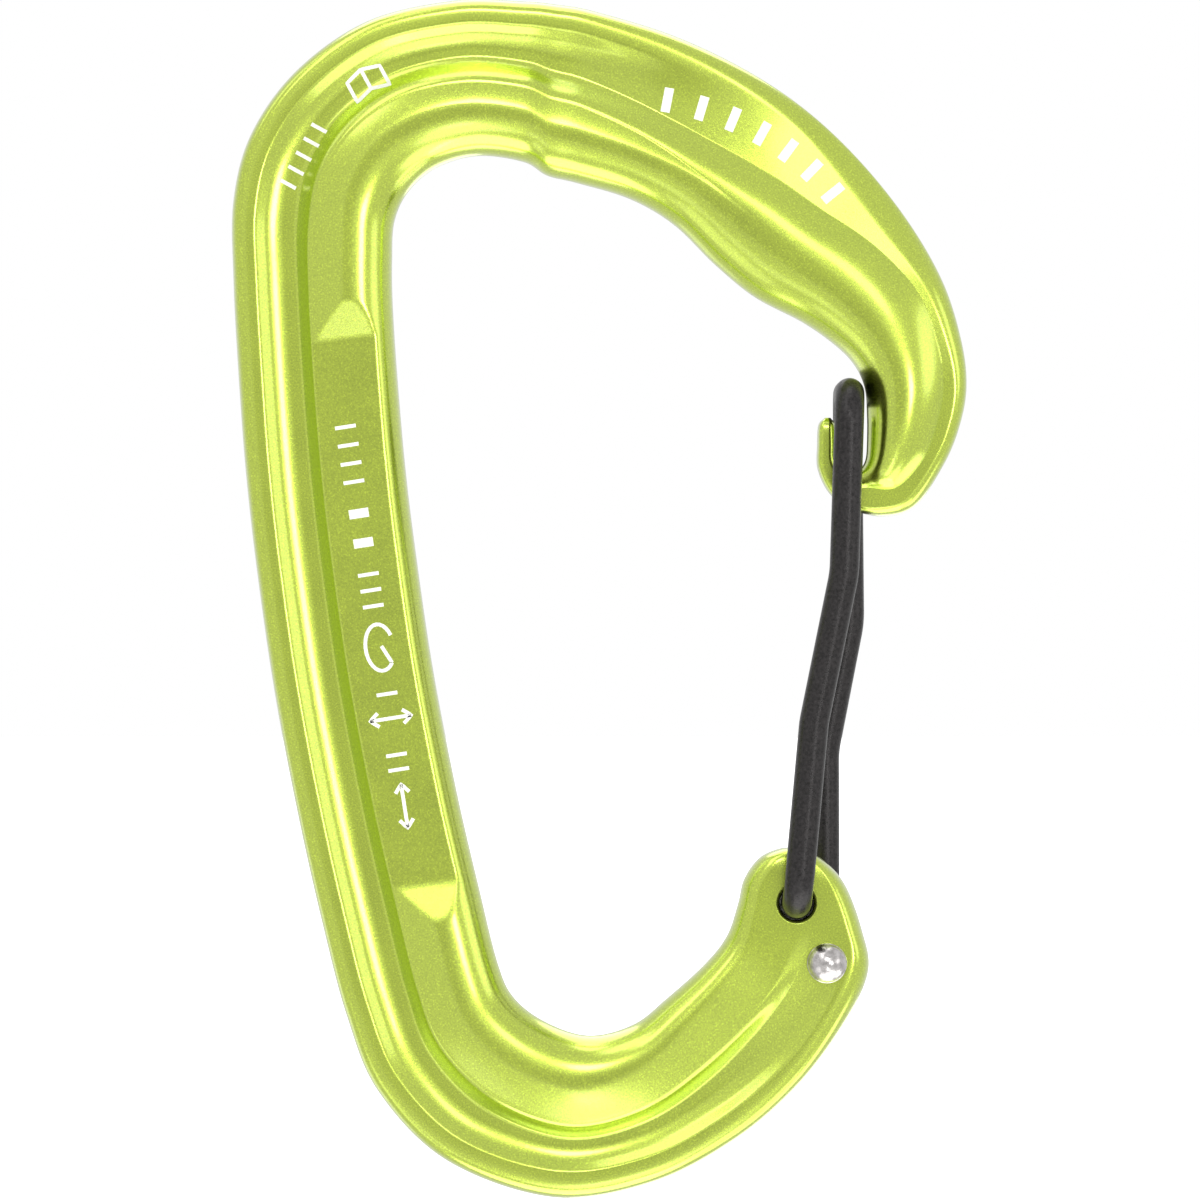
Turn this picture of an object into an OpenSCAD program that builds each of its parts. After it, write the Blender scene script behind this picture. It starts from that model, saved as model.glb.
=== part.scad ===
// Wire-gate carabiner: a forged frame and a gate of one bent spring wire.
// The front faces -Y, the spine is on the left (-X) and the rope basket is at the top (+Z).
// The origin is the point of the rope basket where the rope bears.

/* [Frame] */
// Half thickness of the rope-bearing bar at its crest
bar_half = 3.3; // [3.1:0.1:3.5]
// Half thickness of the web in the bottom of the channel
web_half = 1.2; // [1.0:0.1:1.4]
// Half thickness of the outer lip
lip_half = 2.0; // [1.8:0.1:2.2]
// Half thickness of the nose flange and its hook
hook_half = 1.6; // [1.4:0.1:1.8]
// Half thickness of the plate along the top arm, at the foot of the bar
arm_half = 2.1; // [1.9:0.1:2.3]
// Half thickness at the two marking flats on the spine
panel_half = 2.75; // [2.7:0.05:2.9]
// Length of the marking flats
panel_length = 44.9; // [40:0.1:46]
// Half thickness of the hinge eye
eye_half = 2.4; // [2.2:0.1:2.6]

/* [Gate wire] */
// Diameter of the wire
wire_d = 2.4; // [2.2:0.1:2.4]
// Distance from the middle plane to the centre line of each leg
leg_offset = 5.1; // [5.0:0.1:5.4]
// Radial clearance between the wire ends and their bores
bore_clearance = 0.08; // [0.04:0.01:0.1]
// Diameter of the upset heads on the wire ends
head_d = 3.3; // [3.2:0.1:3.5]
// Height of the upset heads
head_h = 1.1; // [0.9:0.1:1.1]

/* [Hidden] */

wire_r = wire_d / 2;
// The bent wire is a little thinner than its round end, so that the end's face covers it
facet_r = wire_r - 0.012;
pin_overlap = 0.2;
bore_r = wire_r + bore_clearance;
mouth_chamfer = 0.25;
head_gap = 0.1;
rear_leg_gap = 0.3;
// The elbows end in a short straight stretch before the hinge eye
straight_end = 0.1;
bend_r = leg_offset - eye_half - rear_leg_gap - straight_end;
ramp_slope = 0.165;
panel_tilt = 0.13;
panel_middle = -36.05;

// Centres of the two offset bores, and of the crossbar, as [x, z]
front_bore = [25.85, -60.7];
rear_bore = [28.3, -65.55];
crossbar = [29.9, -19.3];

// Routes of the two legs from the crossbar down to the bores, as [x, z]
front_route = [crossbar, [29.55, -33.9], [27.2, -46], front_bore];
rear_route = [crossbar, [30.3, -37.9], [28.25, -48.4], rear_bore];
kink_r = 9;

// Stations along the frame from the hook's tip, round the nose, the top arm, the spine and the sling basket
// to the hinge eye. Each is a point on the inner edge and one on the outer edge: [x, z, x, z]
STATIONS = [
    [28.65, -21.3, 28.15, -21.3], [29.05, -21.9, 27.65, -21.9], [29.15, -23.3, 27.55, -23.5],
    [29.2, -24.6, 27.6, -25.5], [29.6, -25.4, 28.6, -27.5], [30.4, -25.7, 30.4, -28.75],
    [31.1, -25.4, 32.9, -29.3], [31.5, -24.6, 35.5, -28.5], [31.6, -23.2, 37.8, -25.2],
    [31.6, -21.1, 39.1, -22.1], [31.4, -18.8, 39.7, -18.8], [30.5, -16.9, 39.3, -15.1],
    [28.9, -15.3, 37.8, -10.3], [26.3, -13.5, 35, -5.4], [22.5, -11.5, 31.2, -0.6],
    [19.3, -8.9, 26.8, 3.6], [15.9, -5.6, 21.9, 6.9], [12.3, -3.5, 15.9, 9.75],
    [8, -2.2, 9.4, 11.75], [5.6, -1.6, 6.3, 12.3], [3.7, -0.5, 3.6, 12.55],
    [0, 0, -2, 12.6], [-3.3, -0.9, -9, 10.95], [-5.6, -2.8, -14.7, 7],
    [-6.8, -5.3, -18.4, 1.9], [-7, -8.5, -19.9, -3.6], [-6.95, -12.1, -19.9, -10.1],
    [-6.6, -17.6, -19.5, -17.6], [-5.95, -25.1, -18.9, -25.6], [-5.1, -32.1, -18, -33.6],
    [-3.7, -41.6, -16.55, -43.6], [-1.8, -51.4, -14.65, -53.6], [0.1, -59.6, -12.7, -62.3],
    [1.6, -65.6, -10.7, -69.9], [2.9, -68.4, -8.1, -76.1], [5.5, -70.4, -2.5, -81.7],
    [9, -71.5, 6.1, -84.65], [12.6, -70.6, 14.1, -83.5], [15.3, -68.5, 20.9, -80],
    [18.4, -65.7, 26.1, -75.5], [20.2, -63.4, 29.8, -70.5], [21.1, -60.8, 31.7, -66.3],
    [21.6, -58.8, 31.2, -62.9], [22.8, -57.1, 29.8, -59.2], [24.3, -56.35, 27.9, -57.1],
    [25.5, -56.2, 26.4, -56.4]
];

// Section of the frame at numbered stations, with straight blends between them:
// [station, crest, lip, wall, foot, floor, bar height, shoulder height, web height, lip height, crispness, fall]
// crest is how far the bar's crest is from the inner edge, and lip how far the lip's crest is from the outer edge.
// wall, foot and floor divide what is between them: the bar's wall runs from wall to foot and the web from foot to
// floor. Heights are half thicknesses. A crispness of 1 makes the wall meet the web at a sharp line and the outer
// edge an ellipse, and 0 makes both of them soft and boxy.
// fall is the slope at which the plate thins from the foot to the outer edge.
SECTIONS = [
    [0, 0.8, 0.8, 0.3, 0.5, 0.7, 1, 1, 1, 1, 0, 0],
    [1, 0.8, 0.8, 0.3, 0.5, 0.7, hook_half, hook_half, hook_half, hook_half, 0, 0],
    [5, 0.8, 0.8, 0.2, 0.3, 0.6, hook_half, hook_half, hook_half, hook_half, 0, 0],
    [6, 0.8, 0.9, 0.03, 0.3, 0.6, 2, 2, hook_half, hook_half, 1, 0],
    [7, 1.7, 1, 0.03, 0.6, 0.75, 2.6, 2.6, hook_half, hook_half, 1, 0],
    [8, 2.3, 1, 0.03, 0.8, 0.9, 3, 3, hook_half, hook_half, 1, 0],
    [9, 2.7, 1, 0.03, 0.78, 0.9, 3.2, 3.2, hook_half, hook_half, 1, 0],
    [10, 2.9, 1.1, 0.03, 0.81, 0.9, bar_half, bar_half, hook_half, hook_half, 1, 0],
    [12, 3.7, 1.6, 0.03, 0.9, 0.95, bar_half, bar_half, 2, 2, 1, 0.1],
    [13, 4.2, 2.4, 0.03, 0.82, 0.9, bar_half, bar_half, arm_half, arm_half, 1, 0.2],
    [14, 4.8, 2.4, 0.03, 0.58, 0.8, bar_half, bar_half, arm_half, arm_half, 1, 0.2],
    [15, 4.8, 1.7, 0.03, 0.46, 0.7, bar_half, bar_half, arm_half, arm_half, 1, 0.16],
    [16, 4.1, 1.7, 0.03, 0.38, 0.6, bar_half, 3.25, 2, 2, 0.9, 0.05],
    [17, 3.8, 2, 0.15, 0.44, 0.6, bar_half, 3, 1.8, 1.9, 0.5, 0],
    [18, 4.2, 1.9, 0.25, 0.55, 0.66, bar_half, 2.8, 1.3, lip_half, 0, 0],
    [21, 4.1, 1.8, 0.27, 0.6, 0.67, bar_half, 2.8, web_half, lip_half, 0, 0],
    [23, 4.8, 1.8, 0.28, 0.57, 0.66, bar_half, 2.8, web_half, lip_half, 0, 0],
    [26, 4, 1.8, 0.36, 0.53, 0.62, bar_half, 2.8, web_half, lip_half, 0, 0],
    [33, 4.1, 1.8, 0.35, 0.53, 0.62, bar_half, 2.8, web_half, lip_half, 0, 0],
    [35, 4.5, 2, 0.36, 0.58, 0.66, bar_half, 2.8, web_half, lip_half, 0, 0],
    [36, 4.3, 2.2, 0.41, 0.63, 0.68, bar_half, 2.8, web_half, lip_half, 0, 0],
    [38, 2.8, 2.1, 0.4, 0.6, 0.7, 3.1, 2.85, 1.3, 2.05, 0.2, 0],
    [39, 2.2, 1.9, 0.4, 0.55, 0.68, 2.8, 2.7, 1.6, 2.2, 0.4, 0],
    [40, 2, 1.8, 0.4, 0.55, 0.7, 2.5, 2.45, 2.2, eye_half, 0.8, 0],
    [41, 1.7, 1.7, 0.4, 0.55, 0.7, eye_half, eye_half, eye_half, eye_half, 1, 0],
    [43, 1.6, 1.6, 0.4, 0.55, 0.7, eye_half, eye_half, eye_half, eye_half, 1, 0],
    [44, 1.3, 1.3, 0.4, 0.55, 0.7, 2.1, 2.1, 2.1, 2.1, 1, 0],
    [45, 1.2, 1.2, 0.4, 0.55, 0.7, 1.4, 1.4, 1.4, 1.4, 0, 0]
];
// Roundness of the inner side: 2 is an ellipse and more is boxier
crest_power = 2.7;
// Places on the two rounded sides, as shares of their width from the crest to the edge
ROUNDED_AT = [0.4, 0.7, 0.92];
// The climb from the web to the lip: a gentle hollow and then a steep wall, as [share of run, share of rise]
LIP_CLIMB = [[0.55, 0.32], [0.87, 0.88]];
// The most of a narrow section that its two rounded edges may take up
rounded_share = 0.9;
rings_per_station = 2;
wire_sides = 16;
bend_steps = 6;
// Facets round the bores and round the turned parts
fine = 64;

// ---- Frame ----

// Row of the station table at a fractional index, on a smooth curve through the rows
function station(i) =
    let (k = min(floor(i), len(STATIONS) - 2), t = i - k,
         b = STATIONS[k], c = STATIONS[k + 1],
         a = k > 0 ? STATIONS[k - 1] : 2 * b - c,
         d = k < len(STATIONS) - 2 ? STATIONS[k + 2] : 2 * c - b)
    0.5 * (2 * b + (c - a) * t + (2 * a - 5 * b + 4 * c - d) * t * t + (3 * b - a - 3 * c + d) * t * t * t);

function section(i) =
    let (k = max([for (r = [0:len(SECTIONS) - 2]) if (SECTIONS[r][0] <= i) r]),
         a = SECTIONS[k], b = SECTIONS[k + 1], t = (i - a[0]) / (b[0] - a[0]))
    a + (b - a) * t;

function smooth(t) = t * t * (3 - 2 * t);

// Half thickness across one station, from the inner edge to the outer edge,
// as [distance from the inner edge, half thickness]
function profile(i, width) =
    let (q = section(i), fit = min(1, rounded_share * width / (q[1] + q[2])),
         crest = q[1] * fit, lip = q[2] * fit, between = width - crest - lip, rise_end = width - lip,
         wall = crest + q[3] * between, foot = crest + q[4] * between, floor_end = crest + q[5] * between,
         half = smooth(0.5) * (1 - q[10]) + 0.5 * 0.5 * q[10], lip_power = 2 + 3 * (1 - q[10]))
    concat(
        [[0, 0]],
        [for (k = [len(ROUNDED_AT) - 1:-1:0]) let (t = ROUNDED_AT[k])
            [crest * (1 - t), q[6] * sqrt(1 - pow(t, crest_power))]],
        [[crest, q[6]], [wall, q[7]], [(wall + foot) / 2, q[7] + (q[8] - q[7]) * half],
         [foot, q[8]], [floor_end, q[8] - q[11] * (floor_end - foot)]],
        [for (c = LIP_CLIMB) let (s = floor_end + c[0] * (rise_end - floor_end))
            [s, q[8] + c[1] * (q[9] - q[8]) - q[11] * (s - foot)]],
        [[rise_end, q[9] - q[11] * (rise_end - foot)]],
        [for (t = ROUNDED_AT) let (s = rise_end + lip * t)
            [s, (q[9] - q[11] * (s - foot)) * sqrt(1 - pow(t, lip_power))]],
        [[width, 0]]);

// The marking flats: a level cut along the spine that runs out on a ramp at each end
function panel_limit(x, z) =
    panel_half + ramp_slope * max(0, abs(z - panel_tilt * x - panel_middle) - panel_length / 2);
function on_spine(i) = i > 25 && i < 34;

// One closed ring of points: rear side from the inner edge to the outer edge, then back along the front side
function frame_ring(i) =
    let (row = station(i), inner = [row[0], row[1]], outer = [row[2], row[3]],
         width = norm(outer - inner), side = profile(i, width),
         spots = [for (s = side)
             let (p = inner + (outer - inner) * s[0] / width,
                  half = on_spine(i) ? min(s[1], panel_limit(p[0], p[1])) : s[1])
             [p[0], half, p[1]]],
         last = len(spots) - 1)
    concat([for (p = spots) [p[0], p[1], p[2]]],
           [for (k = [last - 1:-1:1]) [spots[k][0], -spots[k][1], spots[k][2]]]);

// Skin of a row of closed rings with flat ends
module ring_solid(rings) {
    n = len(rings[0]);
    count = len(rings);
    walls = [for (r = [0:count - 2], k = [0:n - 1])
        [r * n + k, r * n + (k + 1) % n, (r + 1) * n + (k + 1) % n, (r + 1) * n + k]];
    first = [for (k = [n - 1:-1:0]) k];
    last = [for (k = [0:n - 1]) (count - 1) * n + k];
    polyhedron([for (ring = rings) each ring], concat(walls, [first, last]), convexity = 10);
}

// Through bore with a small chamfer at each mouth
module bore(centre) {
    far = 2 * eye_half;
    translate([centre[0], 0, centre[1]]) rotate([90, 0, 0]) rotate_extrude($fn = fine)
        polygon([[0, -far], [bore_r + mouth_chamfer + far - eye_half, -far], [bore_r, mouth_chamfer - eye_half],
                 [bore_r, eye_half - mouth_chamfer], [bore_r + mouth_chamfer + far - eye_half, far], [0, far]]);
}

module frame() {
    last = len(STATIONS) - 1;
    color("yellowgreen") difference() {
        ring_solid([for (k = [0:last * rings_per_station]) frame_ring(k / rings_per_station)]);
        bore(front_bore);
        bore(rear_bore);
    }
}

// ---- Gate wire ----

function unit(v) = v / norm(v);

// Route with every inner corner replaced by an arc of its own radius
function round_corners(points, radii) = [
    points[0],
    for (k = [1:len(points) - 2])
        let (p = points[k], back = unit(points[k - 1] - p), ahead = unit(points[k + 1] - p),
             half_turn = acos(back * ahead) / 2, run = radii[k - 1] / tan(half_turn),
             centre = p + unit(back + ahead) * radii[k - 1] / sin(half_turn),
             u = unit(p + back * run - centre), v = unit(p + ahead * run - centre), sweep = acos(u * v))
        for (s = [0:bend_steps])
            let (a = sweep * s / bend_steps)
            centre + radii[k - 1] * (u * sin(sweep - a) + v * sin(a)) / sin(sweep),
    points[len(points) - 1]
];

function path_direction(path, k) =
    unit(path[min(k + 1, len(path) - 1)] - path[max(k - 1, 0)]);

// Rings round a path: the ring's first axis is carried along so that the tube doesn't twist
function carried_axis(path, k) = k == 0
    ? let (d = path_direction(path, 0)) unit(cross(d, abs(d[0]) < 0.9 ? [1, 0, 0] : [0, 0, 1]))
    : let (d = path_direction(path, k), a = carried_axis(path, k - 1)) unit(a - d * (a * d));

module wire(path) {
    ring_solid([for (k = [0:len(path) - 1])
        let (u = carried_axis(path, k), v = cross(path_direction(path, k), u))
        [for (s = [0:wire_sides - 1])
            path[k] + facet_r * (u * cos(-360 * s / wire_sides) + v * sin(-360 * s / wire_sides))]]);
}

// Leg in its own plane at y, from the crossbar's middle round the top bend and down into the bore's axis
function leg_path(route, y, end_y) =
    let (top = route[0], low = route[3])
    round_corners(
        [[top[0], 0, top[1]], [top[0], y, top[1]], [route[1][0], y, route[1][1]],
         [route[2][0], y, route[2][1]], [low[0], y, low[1]], [low[0], end_y, low[1]]],
        [bend_r, kink_r, kink_r, bend_r]);

module gate_front_leg() {
    pin_start = eye_half + pin_overlap;
    color("dimgray") {
        wire(leg_path(front_route, -leg_offset, -eye_half));
        translate([front_bore[0], -pin_start, front_bore[1]]) rotate([-90, 0, 0])
            cylinder(h = pin_start + eye_half + head_gap, r = wire_r, $fn = fine);
    }
}

module gate_rear_leg() {
    color("dimgray") wire(leg_path(rear_route, leg_offset, eye_half + rear_leg_gap));
}

// Domed head, flat on its underside, standing on z = 0
module upset_head() {
    rim = 0.25;
    dome = head_h - rim;
    ball = (head_d * head_d / 4 + dome * dome) / (2 * dome);
    intersection() {
        cylinder(h = head_h, r = head_d / 2, $fn = fine);
        translate([0, 0, head_h - ball]) sphere(r = ball, $fn = fine);
    }
}

module front_leg_head() {
    color("silver") translate([front_bore[0], eye_half + head_gap, front_bore[1]]) rotate([-90, 0, 0])
        upset_head();
}

module rear_leg_end() {
    color("silver") {
        translate([rear_bore[0], -eye_half, rear_bore[1]]) rotate([90, 0, 0]) upset_head();
        translate([rear_bore[0], -eye_half, rear_bore[1]]) rotate([-90, 0, 0])
            cylinder(h = 2 * eye_half, r = wire_r, $fn = fine);
    }
}

frame();
gate_front_leg();
gate_rear_leg();
front_leg_head();
rear_leg_end();
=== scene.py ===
"""Looks for the wire-gate carabiner: one lime anodised frame and a black wire gate with bare steel ends."""
import math

import bmesh
import bpy
import numpy as np
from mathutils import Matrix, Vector
from mathutils.bvhtree import BVHTree


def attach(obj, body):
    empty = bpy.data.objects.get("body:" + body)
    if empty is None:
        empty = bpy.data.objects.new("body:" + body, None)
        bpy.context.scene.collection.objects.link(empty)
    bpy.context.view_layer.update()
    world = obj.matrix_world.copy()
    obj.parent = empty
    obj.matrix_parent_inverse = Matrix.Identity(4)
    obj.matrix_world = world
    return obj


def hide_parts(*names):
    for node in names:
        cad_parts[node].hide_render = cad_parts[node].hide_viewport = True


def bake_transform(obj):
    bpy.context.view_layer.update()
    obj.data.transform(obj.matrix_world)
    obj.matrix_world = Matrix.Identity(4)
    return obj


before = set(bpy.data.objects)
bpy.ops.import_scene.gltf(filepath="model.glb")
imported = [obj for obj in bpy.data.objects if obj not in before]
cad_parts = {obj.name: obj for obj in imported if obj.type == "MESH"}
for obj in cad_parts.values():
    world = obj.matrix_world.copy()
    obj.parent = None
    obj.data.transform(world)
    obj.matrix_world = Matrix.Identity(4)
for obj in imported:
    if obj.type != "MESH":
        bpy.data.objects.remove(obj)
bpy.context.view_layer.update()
MM = 0.001

# ---- Sizes, in millimetres, in the same frame as the CAD ----

# Half thicknesses of the frame at its bar, web, outer lip, hook, arm plate and hinge eye
BAR_HALF = 3.3
WEB_HALF = 1.2
LIP_HALF = 2
HOOK_HALF = 1.6
ARM_HALF = 2.1
EYE_HALF = 2.4
# Bores in the hinge eye, and their radius where the rounding of the mouth meets the face
BORE_R = 1.4
MOUTH_R = 1.7
# Upset heads, and the gap under the front leg's head
HEAD_R = 1.66
HEAD_H = 1.5
HEAD_GAP = 0.1

# Gate wire, with its legs this far from the middle plane
WIRE_R = 1.2
LEG_OFFSET = 5.1
BEND_R = 2.3
KINK_R = 9
# The elbows end this far from the eye, and each bore's pin ends this much nearer to it
ELBOW_GAP = 0.15
PIN_GAP = 0.02
# Bores, crossbar and the legs' routes down from it, as x and z
FRONT_BORE = (25.85, -60.7)
REAR_BORE = (28.3, -65.55)
CROSSBAR = (30.12, -19.3)
FRONT_ROUTE = [CROSSBAR, (29.65, -33.9), (27.2, -46.0), FRONT_BORE]
REAR_ROUTE = [CROSSBAR, (30.3, -37.9), (28.25, -48.4), REAR_BORE]

# Frame outline, one station to a row, from the hook's tip round to the hinge eye:
# inner x, inner z, outer x, outer z
STATIONS = np.array([
    (28.65, -21.3, 28.15, -21.3), (29.05, -21.9, 27.65, -21.9), (29.15, -23.3, 27.55, -23.5),
    (29.2, -24.6, 27.6, -25.5), (29.6, -25.4, 28.6, -27.5), (30.4, -25.7, 30.4, -28.75),
    (31.1, -25.4, 32.9, -29.3), (31.5, -24.6, 35.5, -28.5), (31.6, -23.2, 37.8, -25.2),
    (31.6, -21.1, 39.1, -22.1), (31.4, -18.8, 39.7, -18.8), (30.5, -16.9, 39.3, -15.1),
    (28.9, -15.3, 37.8, -10.3), (26.3, -13.5, 35, -5.4), (22.5, -11.5, 31.2, -0.6),
    (19.3, -8.9, 26.8, 3.6), (15.9, -5.6, 21.9, 6.9), (12.3, -3.5, 15.9, 9.75),
    (8, -2.2, 9.4, 11.75), (5.6, -1.6, 6.3, 12.3), (3.7, -0.5, 3.6, 12.55),
    (0, 0, -2, 12.6), (-3.3, -0.9, -9, 10.95), (-5.6, -2.8, -14.7, 7),
    (-6.8, -5.3, -18.4, 1.9), (-7, -8.5, -19.9, -3.6), (-6.95, -12.1, -19.9, -10.1),
    (-6.6, -17.6, -19.5, -17.6), (-5.95, -25.1, -18.9, -25.6), (-5.1, -32.1, -18, -33.6),
    (-3.7, -41.6, -16.55, -43.6), (-1.8, -51.4, -14.65, -53.6), (0.1, -59.6, -12.7, -62.3),
    (1.6, -65.6, -10.7, -69.9), (2.9, -68.4, -8.1, -76.1), (5.5, -70.4, -2.5, -81.7),
    (9, -71.5, 6.1, -84.65), (12.6, -70.6, 14.1, -83.5), (15.3, -68.5, 20.9, -80),
    (18.4, -65.7, 26.1, -75.5), (20.2, -63.4, 29.8, -70.5), (21.1, -60.8, 31.7, -66.3),
    (21.6, -58.8, 31.2, -62.9), (22.8, -57.1, 29.8, -59.2), (24.3, -56.35, 27.9, -57.1),
    (25.5, -56.2, 26.4, -56.4)])

# Section at numbered stations: station, crest, lip, wall, foot, floor, bar height, shoulder height,
# web height, lip height, crispness, fall. Heights are half thicknesses.
# crest is measured from the inner edge and lip from the outer edge. wall, foot and floor are shares of
# what is between them: the bar's wall runs from wall to foot, and the web from foot to floor.
# A crispness of 1 makes a sharp foot and an elliptical edge, and 0 makes both of them soft and boxy.
# fall is the slope at which the plate thins from the foot to the outer edge.
SECTIONS = np.array([
    (0, 0.8, 0.8, 0.3, 0.5, 0.7, 1, 1, 1, 1, 0, 0),
    (1, 0.8, 0.8, 0.3, 0.5, 0.7, HOOK_HALF, HOOK_HALF, HOOK_HALF, HOOK_HALF, 0, 0),
    (5, 0.8, 0.8, 0.2, 0.3, 0.6, HOOK_HALF, HOOK_HALF, HOOK_HALF, HOOK_HALF, 0, 0),
    (6, 0.8, 0.9, 0.03, 0.3, 0.6, 2, 2, HOOK_HALF, HOOK_HALF, 1, 0),
    (7, 1.7, 1, 0.03, 0.6, 0.75, 2.6, 2.6, HOOK_HALF, HOOK_HALF, 1, 0),
    (8, 2.3, 1, 0.03, 0.8, 0.9, 3, 3, HOOK_HALF, HOOK_HALF, 1, 0),
    (9, 2.7, 1, 0.03, 0.78, 0.9, 3.2, 3.2, HOOK_HALF, HOOK_HALF, 1, 0),
    (10, 2.9, 1.1, 0.03, 0.81, 0.9, BAR_HALF, BAR_HALF, HOOK_HALF, HOOK_HALF, 1, 0),
    (12, 3.7, 1.6, 0.03, 0.9, 0.95, BAR_HALF, BAR_HALF, 2, 2, 1, 0.1),
    (13, 4.2, 2.4, 0.03, 0.82, 0.9, BAR_HALF, BAR_HALF, ARM_HALF, ARM_HALF, 1, 0.2),
    (14, 4.8, 2.4, 0.03, 0.58, 0.8, BAR_HALF, BAR_HALF, ARM_HALF, ARM_HALF, 1, 0.2),
    (15, 4.8, 1.7, 0.03, 0.46, 0.7, BAR_HALF, BAR_HALF, ARM_HALF, ARM_HALF, 1, 0.16),
    (16, 4.1, 1.7, 0.03, 0.38, 0.6, BAR_HALF, 3.25, 2, 2, 0.9, 0.05),
    (17, 3.8, 2, 0.15, 0.44, 0.6, BAR_HALF, 3, 1.8, 1.9, 0.5, 0),
    (18, 4.2, 1.9, 0.25, 0.55, 0.66, BAR_HALF, 2.8, 1.3, LIP_HALF, 0, 0),
    (21, 4.1, 1.8, 0.27, 0.6, 0.67, BAR_HALF, 2.8, WEB_HALF, LIP_HALF, 0, 0),
    (23, 4.8, 1.8, 0.28, 0.57, 0.66, BAR_HALF, 2.8, WEB_HALF, LIP_HALF, 0, 0),
    (26, 4, 1.8, 0.36, 0.53, 0.62, BAR_HALF, 2.8, WEB_HALF, LIP_HALF, 0, 0),
    (33, 4.1, 1.8, 0.35, 0.53, 0.62, BAR_HALF, 2.8, WEB_HALF, LIP_HALF, 0, 0),
    (35, 4.5, 2, 0.36, 0.58, 0.66, BAR_HALF, 2.8, WEB_HALF, LIP_HALF, 0, 0),
    (36, 4.3, 2.2, 0.41, 0.63, 0.68, BAR_HALF, 2.8, WEB_HALF, LIP_HALF, 0, 0),
    (38, 2.8, 2.1, 0.4, 0.6, 0.7, 3.1, 2.85, 1.3, 2.05, 0.2, 0),
    (39, 2.2, 1.9, 0.4, 0.55, 0.68, 2.8, 2.7, 1.6, 2.2, 0.4, 0),
    (40, 2, 1.8, 0.4, 0.55, 0.7, 2.5, 2.45, 2.2, EYE_HALF, 0.8, 0),
    (41, 1.7, 1.7, 0.4, 0.55, 0.7, EYE_HALF, EYE_HALF, EYE_HALF, EYE_HALF, 1, 0),
    (43, 1.6, 1.6, 0.4, 0.55, 0.7, EYE_HALF, EYE_HALF, EYE_HALF, EYE_HALF, 1, 0),
    (44, 1.3, 1.3, 0.4, 0.55, 0.7, 2.1, 2.1, 2.1, 2.1, 1, 0),
    (45, 1.2, 1.2, 0.4, 0.55, 0.7, 1.4, 1.4, 1.4, 1.4, 0, 0)], float)
# Roundness of the inner side, and of the outer edge where it is crisp: 2 is an ellipse and more is boxier
CREST_POWER = 2.7
CRISP_LIP_POWER = 2
# How much boxier the outer edge is where it is soft
SOFT_LIP_RISE = 3
# How late the bar falls away from its crest to its wall: 1 is an even fall
SHOULDER_POWER = 1.3
# The most of a narrow section that its two rounded edges may take up
ROUNDED_SHARE = 0.9
# Steepness of the climb from the web to the lip, at shares of its run
CLIMB_AT = (0, 0.55, 0.65, 0.87, 1)
CLIMB_STEEPNESS = (0, 0.3, 0.48, 0.48, 0)
# Fineness of the mesh: rings along the frame, and steps on a rounded edge, a flat stretch and a slope
RINGS_PER_STATION = 22
EDGE_STEPS = 20
FLAT_STEPS = 12
SLOPE_STEPS = 32
# Blur that evens out the sections' changes along the frame, in stations
SECTION_BLUR = 0.3
# Edges that turn more than this many degrees are shaded sharp
FRAME_SHARP = 40
TURNED_SHARP = 50

# The marking flats on the spine, between these two stations: half thickness, lean, middle, length
# and the slope of the ramps at their ends
SPINE_STATIONS = (25, 34)
PANEL_HALF = 2.75
PANEL_TILT = 0.13
PANEL_MIDDLE = -36.05
PANEL_LENGTH = 44.9
RAMP_SLOPE = 0.165


# ---- Mesh helpers ----

def mesh_object(name, verts, faces, smooth=True):
    """New object from vertices in millimetres, with its faces turned outwards."""
    mesh = bpy.data.meshes.new(name)
    mesh.from_pydata([tuple(v) for v in np.asarray(verts) * MM], [], faces)
    work = bmesh.new()
    work.from_mesh(mesh)
    bmesh.ops.recalc_face_normals(work, faces=work.faces)
    work.to_mesh(mesh)
    work.free()
    mesh.polygons.foreach_set("use_smooth", [smooth] * len(mesh.polygons))
    mesh.update()
    obj = bpy.data.objects.new(name, mesh)
    bpy.context.scene.collection.objects.link(obj)
    return obj


def skin(rings, capped=True):
    """Vertices and faces of a skin over closed rings of equal length."""
    count, n = len(rings), len(rings[0])
    faces = [(r * n + k, r * n + (k + 1) % n, (r + 1) * n + (k + 1) % n, (r + 1) * n + k)
             for r in range(count - 1) for k in range(n)]
    if capped:
        faces += [tuple(reversed(range(n))), tuple((count - 1) * n + k for k in range(n))]
    return np.concatenate(rings), faces


def apply_modifiers(obj):
    """Makes what the modifiers do part of the mesh."""
    bpy.context.view_layer.update()
    done = bpy.data.meshes.new_from_object(obj.evaluated_get(bpy.context.evaluated_depsgraph_get()))
    obj.modifiers.clear()
    obj.data = done


def sharp_by_angle(obj, degrees):
    """Marks the edges that turn more than this, so that they aren't shaded round."""
    obj.data.set_sharp_from_angle(angle=math.radians(degrees))


def smooth_step(t):
    """Goes from 0 to 1 with a level start and end."""
    return t * t * (3 - 2 * t)


def gaussian_blur(values, sigma):
    """Blurs each column along the rows."""
    reach = int(3 * sigma) + 1
    kernel = np.exp(-0.5 * (np.arange(-reach, reach + 1) / sigma) ** 2)
    kernel /= kernel.sum()
    padded = np.pad(values, ((reach, reach), (0, 0)), mode="edge")
    return np.stack([np.convolve(padded[:, c], kernel, "valid") for c in range(values.shape[1])], 1)


# ---- Frame ----

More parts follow.
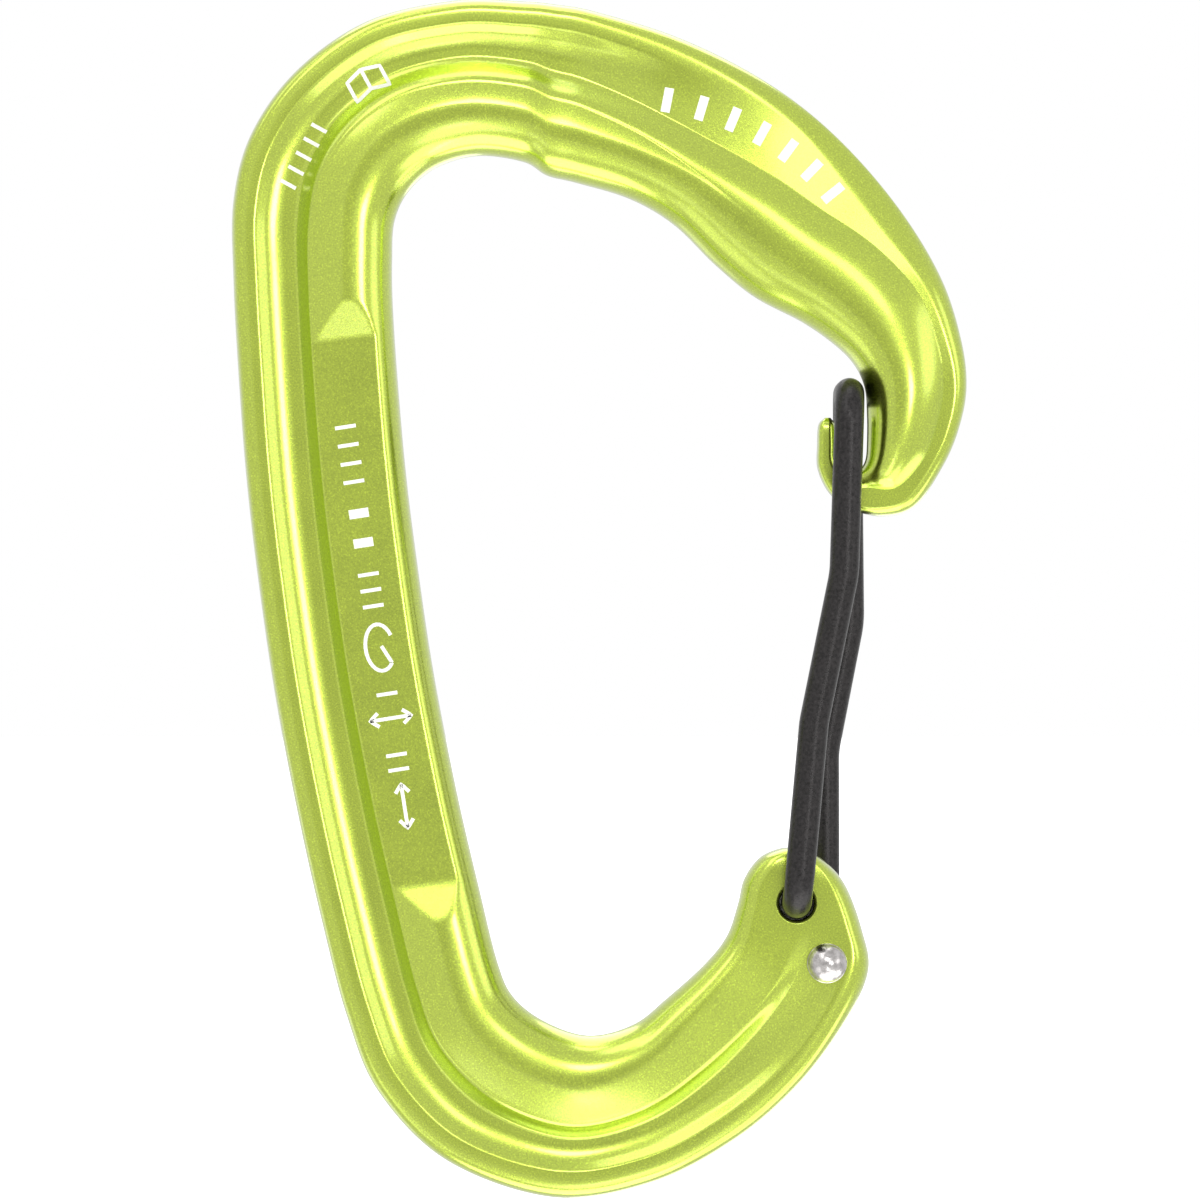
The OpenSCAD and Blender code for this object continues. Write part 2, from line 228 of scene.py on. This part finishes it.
def station_curve(i):
    """Outline rows at fractional stations, on a smooth curve through the given rows."""
    last = len(STATIONS) - 1
    k = np.clip(np.floor(i).astype(int), 0, last - 1)
    t = (i - k)[:, None]
    b, c = STATIONS[k], STATIONS[k + 1]
    a = np.where(k[:, None] > 0, STATIONS[np.maximum(k - 1, 0)], 2 * b - c)
    d = np.where(k[:, None] < last - 1, STATIONS[np.minimum(k + 2, last)], 2 * c - b)
    square = 2 * a - 5 * b + 4 * c - d
    cube = 3 * b - a - 3 * c + d
    return 0.5 * (2 * b + (c - a) * t + square * t ** 2 + cube * t ** 3)


def lip_climb(v, samples=401):
    """Height of the climb from the web to the lip: a gentle hollow, a steep wall and a tight edge."""
    fine = np.linspace(0, 1, samples)
    height = np.cumsum(np.interp(fine, CLIMB_AT, CLIMB_STEEPNESS))
    return np.interp(v, fine, height / height[-1])


def half_section(q, width):
    """Distances from the inner edge and half thicknesses across one station."""
    fit = min(1.0, ROUNDED_SHARE * width / (q[0] + q[1]))
    crest, lip = q[0] * fit, q[1] * fit
    between = width - crest - lip
    wall, foot, floor_end = (crest + share * between for share in q[2:5])
    bar, shoulder, web, lip_half, crisp, fall = q[5:11]
    turn = np.linspace(0, math.pi / 2, EDGE_STEPS + 1)
    u = np.linspace(0, 1, FLAT_STEPS + 1)[1:]
    v = np.linspace(0, 1, SLOPE_STEPS + 1)[1:]
    drop = (1 - crisp) * smooth_step(v) + crisp * v ** 2
    rise_end = width - lip
    lip_power = CRISP_LIP_POWER + SOFT_LIP_RISE * (1 - crisp)
    s = np.concatenate([crest * (1 - np.cos(turn)), crest + u * (wall - crest), wall + v * (foot - wall),
                        foot + u * (floor_end - foot), floor_end + v * (rise_end - floor_end),
                        rise_end + lip * np.sin(turn[1:])])
    h = np.concatenate([bar * np.sqrt(1 - np.cos(turn) ** CREST_POWER),
                        bar + (shoulder - bar) * u ** SHOULDER_POWER,
                        shoulder + (web - shoulder) * drop, np.full(len(u), web),
                        web + (lip_half - web) * lip_climb(v), np.full(len(turn) - 1, lip_half)])
    h -= fall * np.maximum(0, s - foot)
    h[1 - len(turn):] *= np.sqrt(np.maximum(0, 1 - np.sin(turn[1:]) ** lip_power))
    return s, h


def panel_cut(x, z, half):
    """The marking flats: a level cut that runs out on a ramp at each end."""
    past = np.maximum(0, np.abs(z - PANEL_TILT * x - PANEL_MIDDLE) - PANEL_LENGTH / 2)
    return np.minimum(half, PANEL_HALF + RAMP_SLOPE * past)


def frame_rings():
    """Closed rings along the frame: the front from the inner edge to the outer edge, then the rear."""
    last = len(STATIONS) - 1
    index = np.linspace(0, last, last * RINGS_PER_STATION + 1)
    rows = station_curve(index)
    sections = np.stack([np.interp(index, SECTIONS[:, 0], SECTIONS[:, c])
                         for c in range(1, SECTIONS.shape[1])], 1)
    sections = gaussian_blur(sections, SECTION_BLUR * RINGS_PER_STATION)
    rings = []
    for i, row, q in zip(index, rows, sections):
        inner, outer = row[:2], row[2:]
        width = np.linalg.norm(outer - inner)
        s, h = half_section(q, width)
        x, z = (inner + (outer - inner) * (s / width)[:, None]).T
        if SPINE_STATIONS[0] < i < SPINE_STATIONS[1]:
            h = panel_cut(x, z, h)
        h[0] = h[-1] = 0
        front = np.stack([x, -h, z], 1)
        rear = np.stack([x, h, z], 1)[-2:0:-1]
        rings.append(np.concatenate([front, rear]))
    return rings


def revolve(name, profile, centre, steps=96):
    """Closed solid turned about a line along Y through centre: profile is (radius, y) from axis to axis."""
    turns = np.linspace(0, 2 * math.pi, steps, endpoint=False)
    profile = np.asarray(profile, float)
    inside = profile[1:-1]
    rings = [np.stack([centre[0] + r * np.cos(turns), np.full(steps, y), centre[1] + r * np.sin(turns)], 1)
             for r, y in inside]
    verts, faces = skin(rings, capped=False)
    ends = [(centre[0], profile[0][1], centre[1]), (centre[0], profile[-1][1], centre[1])]
    first, last = len(verts), len(verts) + 1
    base = (len(inside) - 1) * steps
    faces += [(first, (k + 1) % steps, k) for k in range(steps)]
    faces += [(last, base + k, base + (k + 1) % steps) for k in range(steps)]
    return mesh_object(name, np.concatenate([verts, ends]), faces)


def bore_cutter(name, centre, mouth_steps=8):
    """Through bore whose two mouths are rounded off."""
    rounding = MOUTH_R - BORE_R
    turn = np.linspace(0, math.pi / 2, mouth_steps + 1)
    lower = [(BORE_R + rounding * (1 - math.cos(a)), -EYE_HALF + rounding * (1 - math.sin(a)))
             for a in turn[::-1]]
    upper = [(r, -y) for r, y in reversed(lower)]
    far = 2 * EYE_HALF
    return revolve(name, [(0, -far), (MOUTH_R, -far)] + lower + upper + [(MOUTH_R, far), (0, far)], centre)


def make_frame():
    """The forged frame with its two bores."""
    verts, faces = skin(frame_rings())
    body = mesh_object("carabiner_frame", verts, faces)
    for name, centre in (("cut_a", FRONT_BORE), ("cut_b", REAR_BORE)):
        cutter = bore_cutter(name, centre)
        cut = body.modifiers.new(name, "BOOLEAN")
        cut.operation, cut.solver, cut.object = "DIFFERENCE", "EXACT", cutter
        apply_modifiers(body)
        bpy.data.objects.remove(cutter)
    body.data.polygons.foreach_set("use_smooth", [True] * len(body.data.polygons))
    sharp_by_angle(body, FRAME_SHARP)
    return body


# ---- Gate wire ----

def unit(v):
    return v / np.linalg.norm(v)


def rounded_path(points, radii, arc_steps=24, straight_step=0.6):
    """Points along a route whose inner corners are arcs of the given radii."""
    points = [np.array(p, float) for p in points]
    path = [points[0]]
    for p_back, p, p_ahead, radius in zip(points, points[1:], points[2:], radii):
        back, ahead = unit(p_back - p), unit(p_ahead - p)
        half = math.acos(np.clip(back @ ahead, -1, 1)) / 2
        centre = p + unit(back + ahead) * radius / math.sin(half)
        u = unit(p + back * radius / math.tan(half) - centre)
        v = unit(p + ahead * radius / math.tan(half) - centre)
        sweep = math.acos(np.clip(u @ v, -1, 1))
        for a in np.linspace(0, sweep, arc_steps):
            path.append(centre + radius * (u * math.sin(sweep - a) + v * math.sin(a)) / math.sin(sweep))
    path.append(points[-1])
    full = [path[0]]
    for p, q in zip(path, path[1:]):
        steps = max(1, int(np.linalg.norm(q - p) / straight_step))
        full += [p + (q - p) * (k + 1) / steps for k in range(steps)]
    return np.array(full)


def tube(path, radius, sides=40):
    """Rings round a path, carried along without twist."""
    direction = np.gradient(path, axis=0)
    direction /= np.linalg.norm(direction, axis=1)[:, None]
    nearly_along_x = abs(direction[0][0]) >= 0.9
    across = unit(np.cross(direction[0], (0, 0, 1.0) if nearly_along_x else (1.0, 0, 0)))
    turns = np.linspace(0, 2 * math.pi, sides, endpoint=False)
    rings = []
    for p, d in zip(path, direction):
        across = unit(across - d * (across @ d))
        other = np.cross(d, across)
        rings.append(p + radius * (np.cos(turns)[:, None] * across + np.sin(turns)[:, None] * other))
    return rings


def leg_points(route, y, end_y):
    """Route of a leg in its own plane at y, and on into its bore as far as end_y."""
    low = route[-1]
    return [(x, y, z) for x, z in route] + [(low[0], end_y, low[1])]


def make_wire():
    """The gate as one bent wire, from the front bore over the crossbar to the rear bore."""
    front = leg_points(FRONT_ROUTE, -LEG_OFFSET, -EYE_HALF - ELBOW_GAP)
    rear = leg_points(REAR_ROUTE, LEG_OFFSET, EYE_HALF + ELBOW_GAP)
    radii = [BEND_R, KINK_R, KINK_R, BEND_R]
    path = rounded_path(front[::-1] + rear, radii + radii)
    verts, faces = skin(tube(path, WIRE_R))
    wire = mesh_object("gate_wire", verts, faces)
    sharp_by_angle(wire, TURNED_SHARP)
    return wire


# Upset heads: the rim's height, the angles in radians where the dome and the rounding of its rim start,
# the dome's share of the ball's arc, and the small chamfer under the rim
RIM_H = 0.3
DOME_FROM = 0.04
ROUNDING_FROM = 0.2
DOME_SHARE = 0.9
FOOT_CHAMFER_H = 0.02
FOOT_CHAMFER_R = 0.1


def make_head(name, centre, face_y, side, dome_steps=20, rim_steps=9):
    """Upset head: a low dome with a rounded rim, standing on face_y, with side -1 towards the front."""
    dome = HEAD_H - RIM_H
    ball = (HEAD_R ** 2 + dome ** 2) / (2 * dome)
    half = math.asin(HEAD_R / ball)
    profile = [(0, HEAD_H)]
    for a in np.linspace(DOME_FROM, DOME_SHARE * half, dome_steps):
        profile.append((ball * math.sin(a), HEAD_H - ball * (1 - math.cos(a))))
    corner_r, corner_y = profile[-1]
    rim_y = RIM_H * 0.5
    for a in np.linspace(ROUNDING_FROM, math.pi / 2, rim_steps):
        r = corner_r + (HEAD_R - corner_r) * math.sin(a)
        profile.append((r, rim_y + (corner_y - rim_y) * math.cos(a)))
    profile += [(HEAD_R, FOOT_CHAMFER_H), (HEAD_R - FOOT_CHAMFER_R, 0), (0, 0)]
    head = revolve(name, [(r, face_y + side * y) for r, y in profile], centre)
    sharp_by_angle(head, TURNED_SHARP)
    return head


def make_pin(name, centre, low, high):
    """Straight end of a leg inside its bore, from just under the elbow to the head."""
    pin = revolve(name, [(0, low), (WIRE_R, low), (WIRE_R, high), (0, high)], centre)
    sharp_by_angle(pin, TURNED_SHARP)
    return pin


# ---- Printed marks: plain arrows, bars and signs, with no lettering ----

# Each mark is a thin ribbon that stands a little proud of the surface and reaches a little into it.
FINE_STROKE = 0.3
BOLD_STROKE = 0.75
MARK_PROUD = 0.02
MARK_SUNK = 0.06
# Places across a ribbon, as shares of its half width, where it is laid on the surface
RIBBON_SHARES = (-1, -0.33, 0.33, 1)
# The rays that find the surface start this far in front of the middle plane.
CAST_FROM = -20

# The spine's marks stand along a line, given by its start and direction in x and z
PANEL_ORIGIN = np.array((-5.95, -52.8))
PANEL_UP = np.array((-0.154, 0.988))
LONG_ARROW_HALF = 1.8
CROSS_ARROW_AT = 7.2
CROSS_ARROW_HALF = 1.7
GATE_SIGN_AT = 13.0
LOW_BARS_AT = (3.0, 4.2, 9.2)
HIGH_BARS_AT = (16.4, 17.7, 19.0, 26.6, 28.1, 29.6, 31.1)
BOLD_BARS_AT = (21.6, 24.0)
SPINE_BAR_HALF = 0.85
BOLD_BAR_HALF = 0.8
# A row of bars on the shoulder, and the book sign beyond it
SHOULDER_ORIGIN = np.array((-15.6, -2.7))
SHOULDER_UP = (0.48, 0.877)
SHOULDER_BARS_AT = (0.4, 1.7, 3.0, 4.3, 5.6)
SHOULDER_BAR_HALF = 0.7
BOOK_SIGN_AT = np.array((-9.0, 6.0))
BOOK_SIGN_ALONG = (0.877, 0.48)
# A row of bold bars along the arm, on a curve with these control points
ARM_CURVE = ((14.6, 4.6), (24.2, 3.0), (29.2, -3.6))
ARM_SHARES = (0.04, 0.96)
ARM_BARS = 7
ARM_BAR_HALF = 1.0


def turned(direction):
    """The direction a quarter turn clockwise, in x and z."""
    return np.array((direction[1], -direction[0]))


def double_arrow(half_length, head=0.7, spread=0.8):
    """Strokes of an arrow with a head at each end, along the first axis."""
    strokes = [[(-half_length, 0), (half_length, 0)]]
    for end in (-1, 1):
        tip = end * half_length
        strokes.append([(tip - end * head, -head * spread), (tip, 0), (tip - end * head, head * spread)])
    return strokes


def open_gate_sign(long_half=1.9, short_half=1.15, loop=(0.75, 2.35), steps=24):
    """Strokes of a carabiner outline whose gate stands open. loop is its start and end in half turns."""
    turns = np.linspace(loop[0] * math.pi, loop[1] * math.pi, steps)
    gate = [(-1.35, 0.8), (0.1, 0.15)]
    return [[(long_half * math.cos(a), short_half * math.sin(a)) for a in turns], gate]


def bars(places, half_length):
    """Strokes across the line at the given places along it."""
    return [[(a, -half_length), (a, half_length)] for a in places]


def open_book_sign(page=1.5, height=1.1, slope=0.6):
    """Strokes of an open book."""
    low, high = -height * slope, height * slope
    return [[(0, -height), (-page, low), (-page, height), (0, high), (page, height),
             (page, low), (0, -height), (0, high)]]


def placed_strokes(strokes, origin, along, shift=0.0, swap=False):
    """Strokes given along and across a line, as points in x and z. swap turns them a quarter turn."""
    across = turned(along)
    return [[origin + (shift + (b if swap else a)) * along + (a if swap else b) * across for a, b in stroke]
            for stroke in strokes]


def spine_marks():
    """Fine strokes on the spine's flat: an arrow for each direction of load, the gate sign and bars."""
    cross_arrow = double_arrow(CROSS_ARROW_HALF)
    fine = placed_strokes(double_arrow(LONG_ARROW_HALF), PANEL_ORIGIN, PANEL_UP)
    fine += placed_strokes(bars(LOW_BARS_AT, SPINE_BAR_HALF), PANEL_ORIGIN, PANEL_UP)
    fine += placed_strokes(cross_arrow, PANEL_ORIGIN, PANEL_UP, shift=CROSS_ARROW_AT, swap=True)
    fine += placed_strokes(open_gate_sign(), PANEL_ORIGIN, PANEL_UP, shift=GATE_SIGN_AT)
    fine += placed_strokes(bars(HIGH_BARS_AT, SPINE_BAR_HALF), PANEL_ORIGIN, PANEL_UP)
    return fine


def shoulder_marks():
    """Fine strokes above the spine: a row of bars and the book sign."""
    row = bars(SHOULDER_BARS_AT, SHOULDER_BAR_HALF)
    fine = placed_strokes(row, SHOULDER_ORIGIN, unit(np.array(SHOULDER_UP)))
    fine += placed_strokes(open_book_sign(), BOOK_SIGN_AT, unit(np.array(BOOK_SIGN_ALONG)))
    return fine


def arm_marks():
    """Bold bars across a curve along the arm."""
    start, middle, end = (np.array(p) for p in ARM_CURVE)
    bold = []
    for t in np.linspace(*ARM_SHARES, ARM_BARS):
        place = (1 - t) ** 2 * start + 2 * t * (1 - t) * middle + t ** 2 * end
        heading = unit((1 - t) * (middle - start) + t * (end - middle))
        bold += placed_strokes(bars((0,), ARM_BAR_HALF), place, heading)
    return bold


def mark_strokes():
    """Every mark as (points in x and z, width)."""
    fine = spine_marks() + shoulder_marks()
    bold = placed_strokes(bars(BOLD_BARS_AT, BOLD_BAR_HALF), PANEL_ORIGIN, PANEL_UP) + arm_marks()
    return [(points, FINE_STROKE) for points in fine] + [(points, BOLD_STROKE) for points in bold]


def stroke_rings(surface, points, width, step=0.2):
    """Rings of a thin ribbon that lies on the front of the surface."""
    points = [np.array(p, float) for p in points]
    path = [points[0]]
    for p, q in zip(points, points[1:]):
        steps = max(1, round(np.linalg.norm(q - p) / step))
        path += [p + (q - p) * (k + 1) / steps for k in range(steps)]
    path = np.array(path)
    heading = np.gradient(path, axis=0)
    heading /= np.linalg.norm(heading, axis=1)[:, None]
    rings = []
    for p, d in zip(path, heading):
        edges = [p + side * width / 2 * turned(d) for side in RIBBON_SHARES]
        hits = [surface.ray_cast(Vector((x, CAST_FROM, z)) * MM, Vector((0, 1, 0)))[0] for x, z in edges]
        if any(hit is None for hit in hits):
            continue
        top = [(hit.x / MM, hit.y / MM - MARK_PROUD, hit.z / MM) for hit in hits]
        rings.append(np.array(top + [(x, y + MARK_PROUD + MARK_SUNK, z) for x, y, z in reversed(top)]))
    return rings


def make_marks(body):
    """All marks as one mesh that lies on the body's front."""
    surface = BVHTree.FromObject(body, bpy.context.evaluated_depsgraph_get())
    verts, faces = [], []
    for points, width in mark_strokes():
        rings = stroke_rings(surface, points, width)
        if len(rings) < 2:
            continue
        base = sum(len(v) for v in verts)
        new_verts, new_faces = skin(rings)
        verts.append(new_verts)
        faces += [tuple(base + k for k in face) for face in new_faces]
    return mesh_object("surface_marks", np.concatenate(verts), faces, smooth=False)


# ---- Materials ----

def node_material(name):
    """New material with its node tree and its shader."""
    material = bpy.data.materials.new(name)
    material.use_nodes = True
    tree = material.node_tree
    shader = tree.nodes["Principled BSDF"]
    return material, tree, shader


def add_node(tree, kind, **settings):
    """New node with values for its inputs or its own settings."""
    node = tree.nodes.new(kind)
    for key, value in settings.items():
        if key in node.inputs:
            node.inputs[key].default_value = value
        else:
            setattr(node, key, value)
    return node


def noise(tree, scale, detail=2, rough=0.5):
    """Noise in object space, with the scale in cycles a metre."""
    place = add_node(tree, "ShaderNodeTexCoord")
    node = add_node(tree, "ShaderNodeTexNoise", Scale=scale, Detail=detail, Roughness=rough)
    tree.links.new(place.outputs["Object"], node.inputs["Vector"])
    return node


def ramp(tree, pattern, stops, target):
    """Colour ramp from a pattern to a shader's input: stops are (position, colour) or (position, grey)."""
    node = add_node(tree, "ShaderNodeValToRGB")
    elements = node.color_ramp.elements
    while len(elements) < len(stops):
        elements.new(0.5)
    for element, (position, colour) in zip(elements, stops):
        element.position = position
        element.color = (*colour, 1) if hasattr(colour, "__len__") else (colour, colour, colour, 1)
    tree.links.new(pattern.outputs["Fac"], node.inputs["Fac"])
    tree.links.new(node.outputs["Color"], target)


def bump(tree, pattern, shader, strength, height):
    """Small bumps that follow a pattern, with their height in metres."""
    node = add_node(tree, "ShaderNodeBump", Strength=strength, Distance=height)
    tree.links.new(pattern.outputs["Fac"], node.inputs["Height"])
    tree.links.new(node.outputs["Normal"], shader.inputs["Normal"])


LIME = (0.56, 0.70, 0.06)


def anodised_material():
    """Dyed aluminium with a fine sparkle, under the clear anodised layer."""
    material, tree, shader = node_material("lime_anodised")
    grain = noise(tree, scale=7500, detail=1)
    clouds = noise(tree, scale=260, detail=3)
    shades = [(0.3, 0.84), (0.52, 1.0), (0.62, 1.04), (0.72, 1.32)]
    limes = [(at, tuple(c * share for c in LIME)) for at, share in shades]
    ramp(tree, grain, limes, shader.inputs["Base Color"])
    ramp(tree, clouds, [(0.3, 0.22), (0.7, 0.26)], shader.inputs["Roughness"])
    bump(tree, grain, shader, strength=0.06, height=0.00003)
    shader.inputs["Metallic"].default_value = 1.0
    shader.inputs["Coat Weight"].default_value = 1.0
    shader.inputs["Coat Roughness"].default_value = 0.14
    shader.inputs["Coat IOR"].default_value = 1.7
    return material


def coated_wire_material():
    """Blackened spring steel with a fine uneven skin."""
    material, tree, shader = node_material("black_coated_wire")
    grain = noise(tree, scale=3800, detail=4, rough=0.6)
    blacks = [(0.3, (0.015, 0.014, 0.014)), (0.75, (0.045, 0.041, 0.041))]
    ramp(tree, grain, blacks, shader.inputs["Base Color"])
    ramp(tree, grain, [(0.3, 0.24), (0.7, 0.38)], shader.inputs["Roughness"])
    bump(tree, grain, shader, strength=0.5, height=0.00005)
    shader.inputs["Metallic"].default_value = 0.6
    return material


def bare_steel_material():
    """Bare steel, unevenly bright from being struck."""
    material, tree, shader = node_material("bare_steel")
    streaks = noise(tree, scale=1900, detail=5, rough=0.7)
    greys = [(0.35, (0.42, 0.4, 0.39)), (0.65, (0.7, 0.67, 0.66))]
    ramp(tree, streaks, greys, shader.inputs["Base Color"])
    ramp(tree, streaks, [(0.35, 0.22), (0.65, 0.12)], shader.inputs["Roughness"])
    bump(tree, streaks, shader, strength=0.35, height=0.00008)
    shader.inputs["Metallic"].default_value = 1.0
    return material


def mark_material():
    """Pale print with a fine grain."""
    material, tree, shader = node_material("pale_marks")
    grain = noise(tree, scale=6000)
    pales = [(0.3, (0.74, 0.76, 0.66)), (0.7, (0.9, 0.9, 0.84))]
    ramp(tree, grain, pales, shader.inputs["Base Color"])
    shader.inputs["Roughness"].default_value = 0.6
    return material


def plain_material(name, grey, glow):
    """Even matt grey with a white glow, for the stage only."""
    material, _, shader = node_material(name)
    shader.inputs["Base Color"].default_value = (grey, grey, grey, 1)
    shader.inputs["Roughness"].default_value = 0.9
    shader.inputs["Emission Color"].default_value = (1, 1, 1, 1)
    shader.inputs["Emission Strength"].default_value = glow
    return material


def dress(obj, material):
    """Gives the object its one material."""
    obj.data.materials.clear()
    obj.data.materials.append(material)


# ---- Studio ----

# The camera looks along Y at this point, and a millimetre there fills this many pixels of the picture
AIM = Vector((9.9, 0, -36.1)) * MM
CAMERA_DISTANCE = 0.9
SENSOR_WIDTH = 36
FRAME_PIXELS = 1200
PIXELS_PER_MM = 12.3

# Glow of the room as the object sees it: the camera sees pure white
ROOM_GLOW = 0.8
# Floor: half its side and its height in millimetres, its grey and its glow
FLOOR_HALF = 4000.0
FLOOR_Z = -97.0
FLOOR_GREY = 0.9
FLOOR_GLOW = 0.65
# A dim card stands behind the camera, and another one behind the object, where only reflections show them.
CARD_HALF_ANGLE = 7.5
CARD_DISTANCE = 0.95
CARD_GLOW = 0.46

# Round softboxes: degrees off the view's axis, clock angle (0 is up, 90 is right), degrees across, glow
LIGHTS = [
    ("right_front", 25, 90, 11, 9.0),
    ("top_front", 23, 0, 12, 6.0),
    ("top_right_front", 24, 42, 12, 2.6),
    ("low_front", 33, 172, 24, 1.35),
    ("low", 82, 180, 56, 2.1),
    ("low_near", 20, 172, 8, 2.0),
    ("low_left_front", 32, 215, 14, 0.6),
    ("top_left_front", 46, 322, 18, 1.7),
    ("low_left", 58, 230, 30, 0.6),
    ("low_right", 60, 150, 30, 1.4),
    ("right", 64, 80, 26, 1.0),
    ("upper_left", 66, 335, 28, 1.3),
    ("far_top", 90, 0, 30, 1.6),
    ("far_low_right", 90, 135, 34, 1.5),
    ("far_left", 95, 312, 28, 0.6),
    ("top_back", 128, 0, 50, 1.4),
    ("back_left", 130, 240, 30, 0.4),
    ("back_low", 150, 150, 30, 1.1),
]
LIGHT_DISTANCE = 2.0


def add_camera():
    """Camera straight in front, as in the photograph."""
    data = bpy.data.cameras.new("camera")
    data.sensor_width = SENSOR_WIDTH
    data.lens = data.sensor_width / 2 / (FRAME_PIXELS / 2 / (PIXELS_PER_MM / MM * CAMERA_DISTANCE))
    camera = bpy.data.objects.new("camera", data)
    camera.location = AIM + Vector((0, -CAMERA_DISTANCE, 0))
    camera.rotation_euler = (math.pi / 2, 0, 0)
    bpy.context.scene.collection.objects.link(camera)
    bpy.context.scene.camera = camera


def add_light(name, off_axis, clock, across, glow):
    """Round softbox that faces the object. Its power grows with its area, so that glow is its brightness."""
    data = bpy.data.lights.new(name, "AREA")
    radius = LIGHT_DISTANCE * math.tan(math.radians(across / 2))
    data.shape, data.size, data.energy = "DISK", 2 * radius, glow * (math.pi * radius) ** 2
    light = bpy.data.objects.new(name, data)
    a, c = math.radians(off_axis), math.radians(clock)
    out = Vector((math.sin(a) * math.sin(c), -math.cos(a), math.sin(a) * math.cos(c)))
    light.location = AIM + out * LIGHT_DISTANCE
    light.rotation_euler = out.to_track_quat("Z", "Y").to_euler()
    light.visible_camera = False
    bpy.context.scene.collection.objects.link(light)


def disc(name, centre, radius, steps=64):
    """Flat disc that faces along Y."""
    turns = np.linspace(0, 2 * math.pi, steps, endpoint=False)
    verts = [(centre[0] + radius * math.cos(a), centre[1], centre[2] + radius * math.sin(a)) for a in turns]
    return mesh_object(name, verts, [tuple(range(steps))], smooth=False)


def add_floor():
    """Pale floor under the object, unseen in reflections."""
    corners = [(x, y, FLOOR_Z) for x, y in ((-FLOOR_HALF, -FLOOR_HALF), (FLOOR_HALF, -FLOOR_HALF),
                                            (FLOOR_HALF, FLOOR_HALF), (-FLOOR_HALF, FLOOR_HALF))]
    floor = mesh_object("floor", corners, [(0, 1, 2, 3)], smooth=False)
    dress(floor, plain_material("pale_floor", FLOOR_GREY, FLOOR_GLOW))
    floor.visible_glossy = False


def add_cards():
    """The two dim cards that darken what faces the camera, in reflections only."""
    card_material = plain_material("dark_card", 0.0, CARD_GLOW)
    radius = CARD_DISTANCE / MM * math.tan(math.radians(CARD_HALF_ANGLE))
    for name, side in (("front_card", -1), ("rear_card", 1)):
        centre = (AIM.x / MM, side * CARD_DISTANCE / MM, AIM.z / MM)
        card = disc(name, centre, radius)
        card.visible_camera = card.visible_diffuse = card.visible_shadow = False
        dress(card, card_material)


def add_room():
    """White surroundings that glow less on the object than they show to the camera."""
    world = bpy.data.worlds.new("studio")
    world.use_nodes = True
    tree = world.node_tree
    seen = tree.nodes["Background"]
    seen.inputs["Color"].default_value = (1, 1, 1, 1)
    around = add_node(tree, "ShaderNodeBackground", Color=(1, 1, 1, 1), Strength=ROOM_GLOW)
    ray = add_node(tree, "ShaderNodeLightPath")
    mix = add_node(tree, "ShaderNodeMixShader")
    tree.links.new(ray.outputs["Is Camera Ray"], mix.inputs["Fac"])
    tree.links.new(around.outputs["Background"], mix.inputs[1])
    tree.links.new(seen.outputs["Background"], mix.inputs[2])
    tree.links.new(mix.outputs["Shader"], tree.nodes["World Output"].inputs["Surface"])
    bpy.context.scene.world = world
    bpy.context.scene.view_settings.view_transform = "Standard"


# ---- Build ----

body = make_frame()
dress(body, anodised_material())
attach(body, "frame")
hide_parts("frame")

marks = make_marks(body)
dress(marks, mark_material())
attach(marks, "frame")

wire = make_wire()
dress(wire, coated_wire_material())
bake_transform(wire)
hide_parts("gate_front_leg", "gate_rear_leg")

steel = bare_steel_material()
front_head = make_head("rear_leg_head", REAR_BORE, -EYE_HALF, -1)
dress(front_head, steel)
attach(front_head, "frame")
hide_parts("rear_leg_end")
wire_black = wire.data.materials[0]
elbow_end = EYE_HALF + ELBOW_GAP - PIN_GAP
rear_pin = make_pin("rear_leg_pin", REAR_BORE, -EYE_HALF, elbow_end)
dress(rear_pin, wire_black)
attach(rear_pin, "frame")
front_pin = make_pin("front_leg_pin", FRONT_BORE, -elbow_end, EYE_HALF + HEAD_GAP)
dress(front_pin, wire_black)
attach(front_pin, "gate_front")
rear_head = make_head("front_leg_head_dome", FRONT_BORE, EYE_HALF + HEAD_GAP, 1)
dress(rear_head, steel)
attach(rear_head, "gate_front")
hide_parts("front_leg_head")

add_camera()
add_floor()
add_cards()
add_room()
for light in LIGHTS:
    add_light(*light)
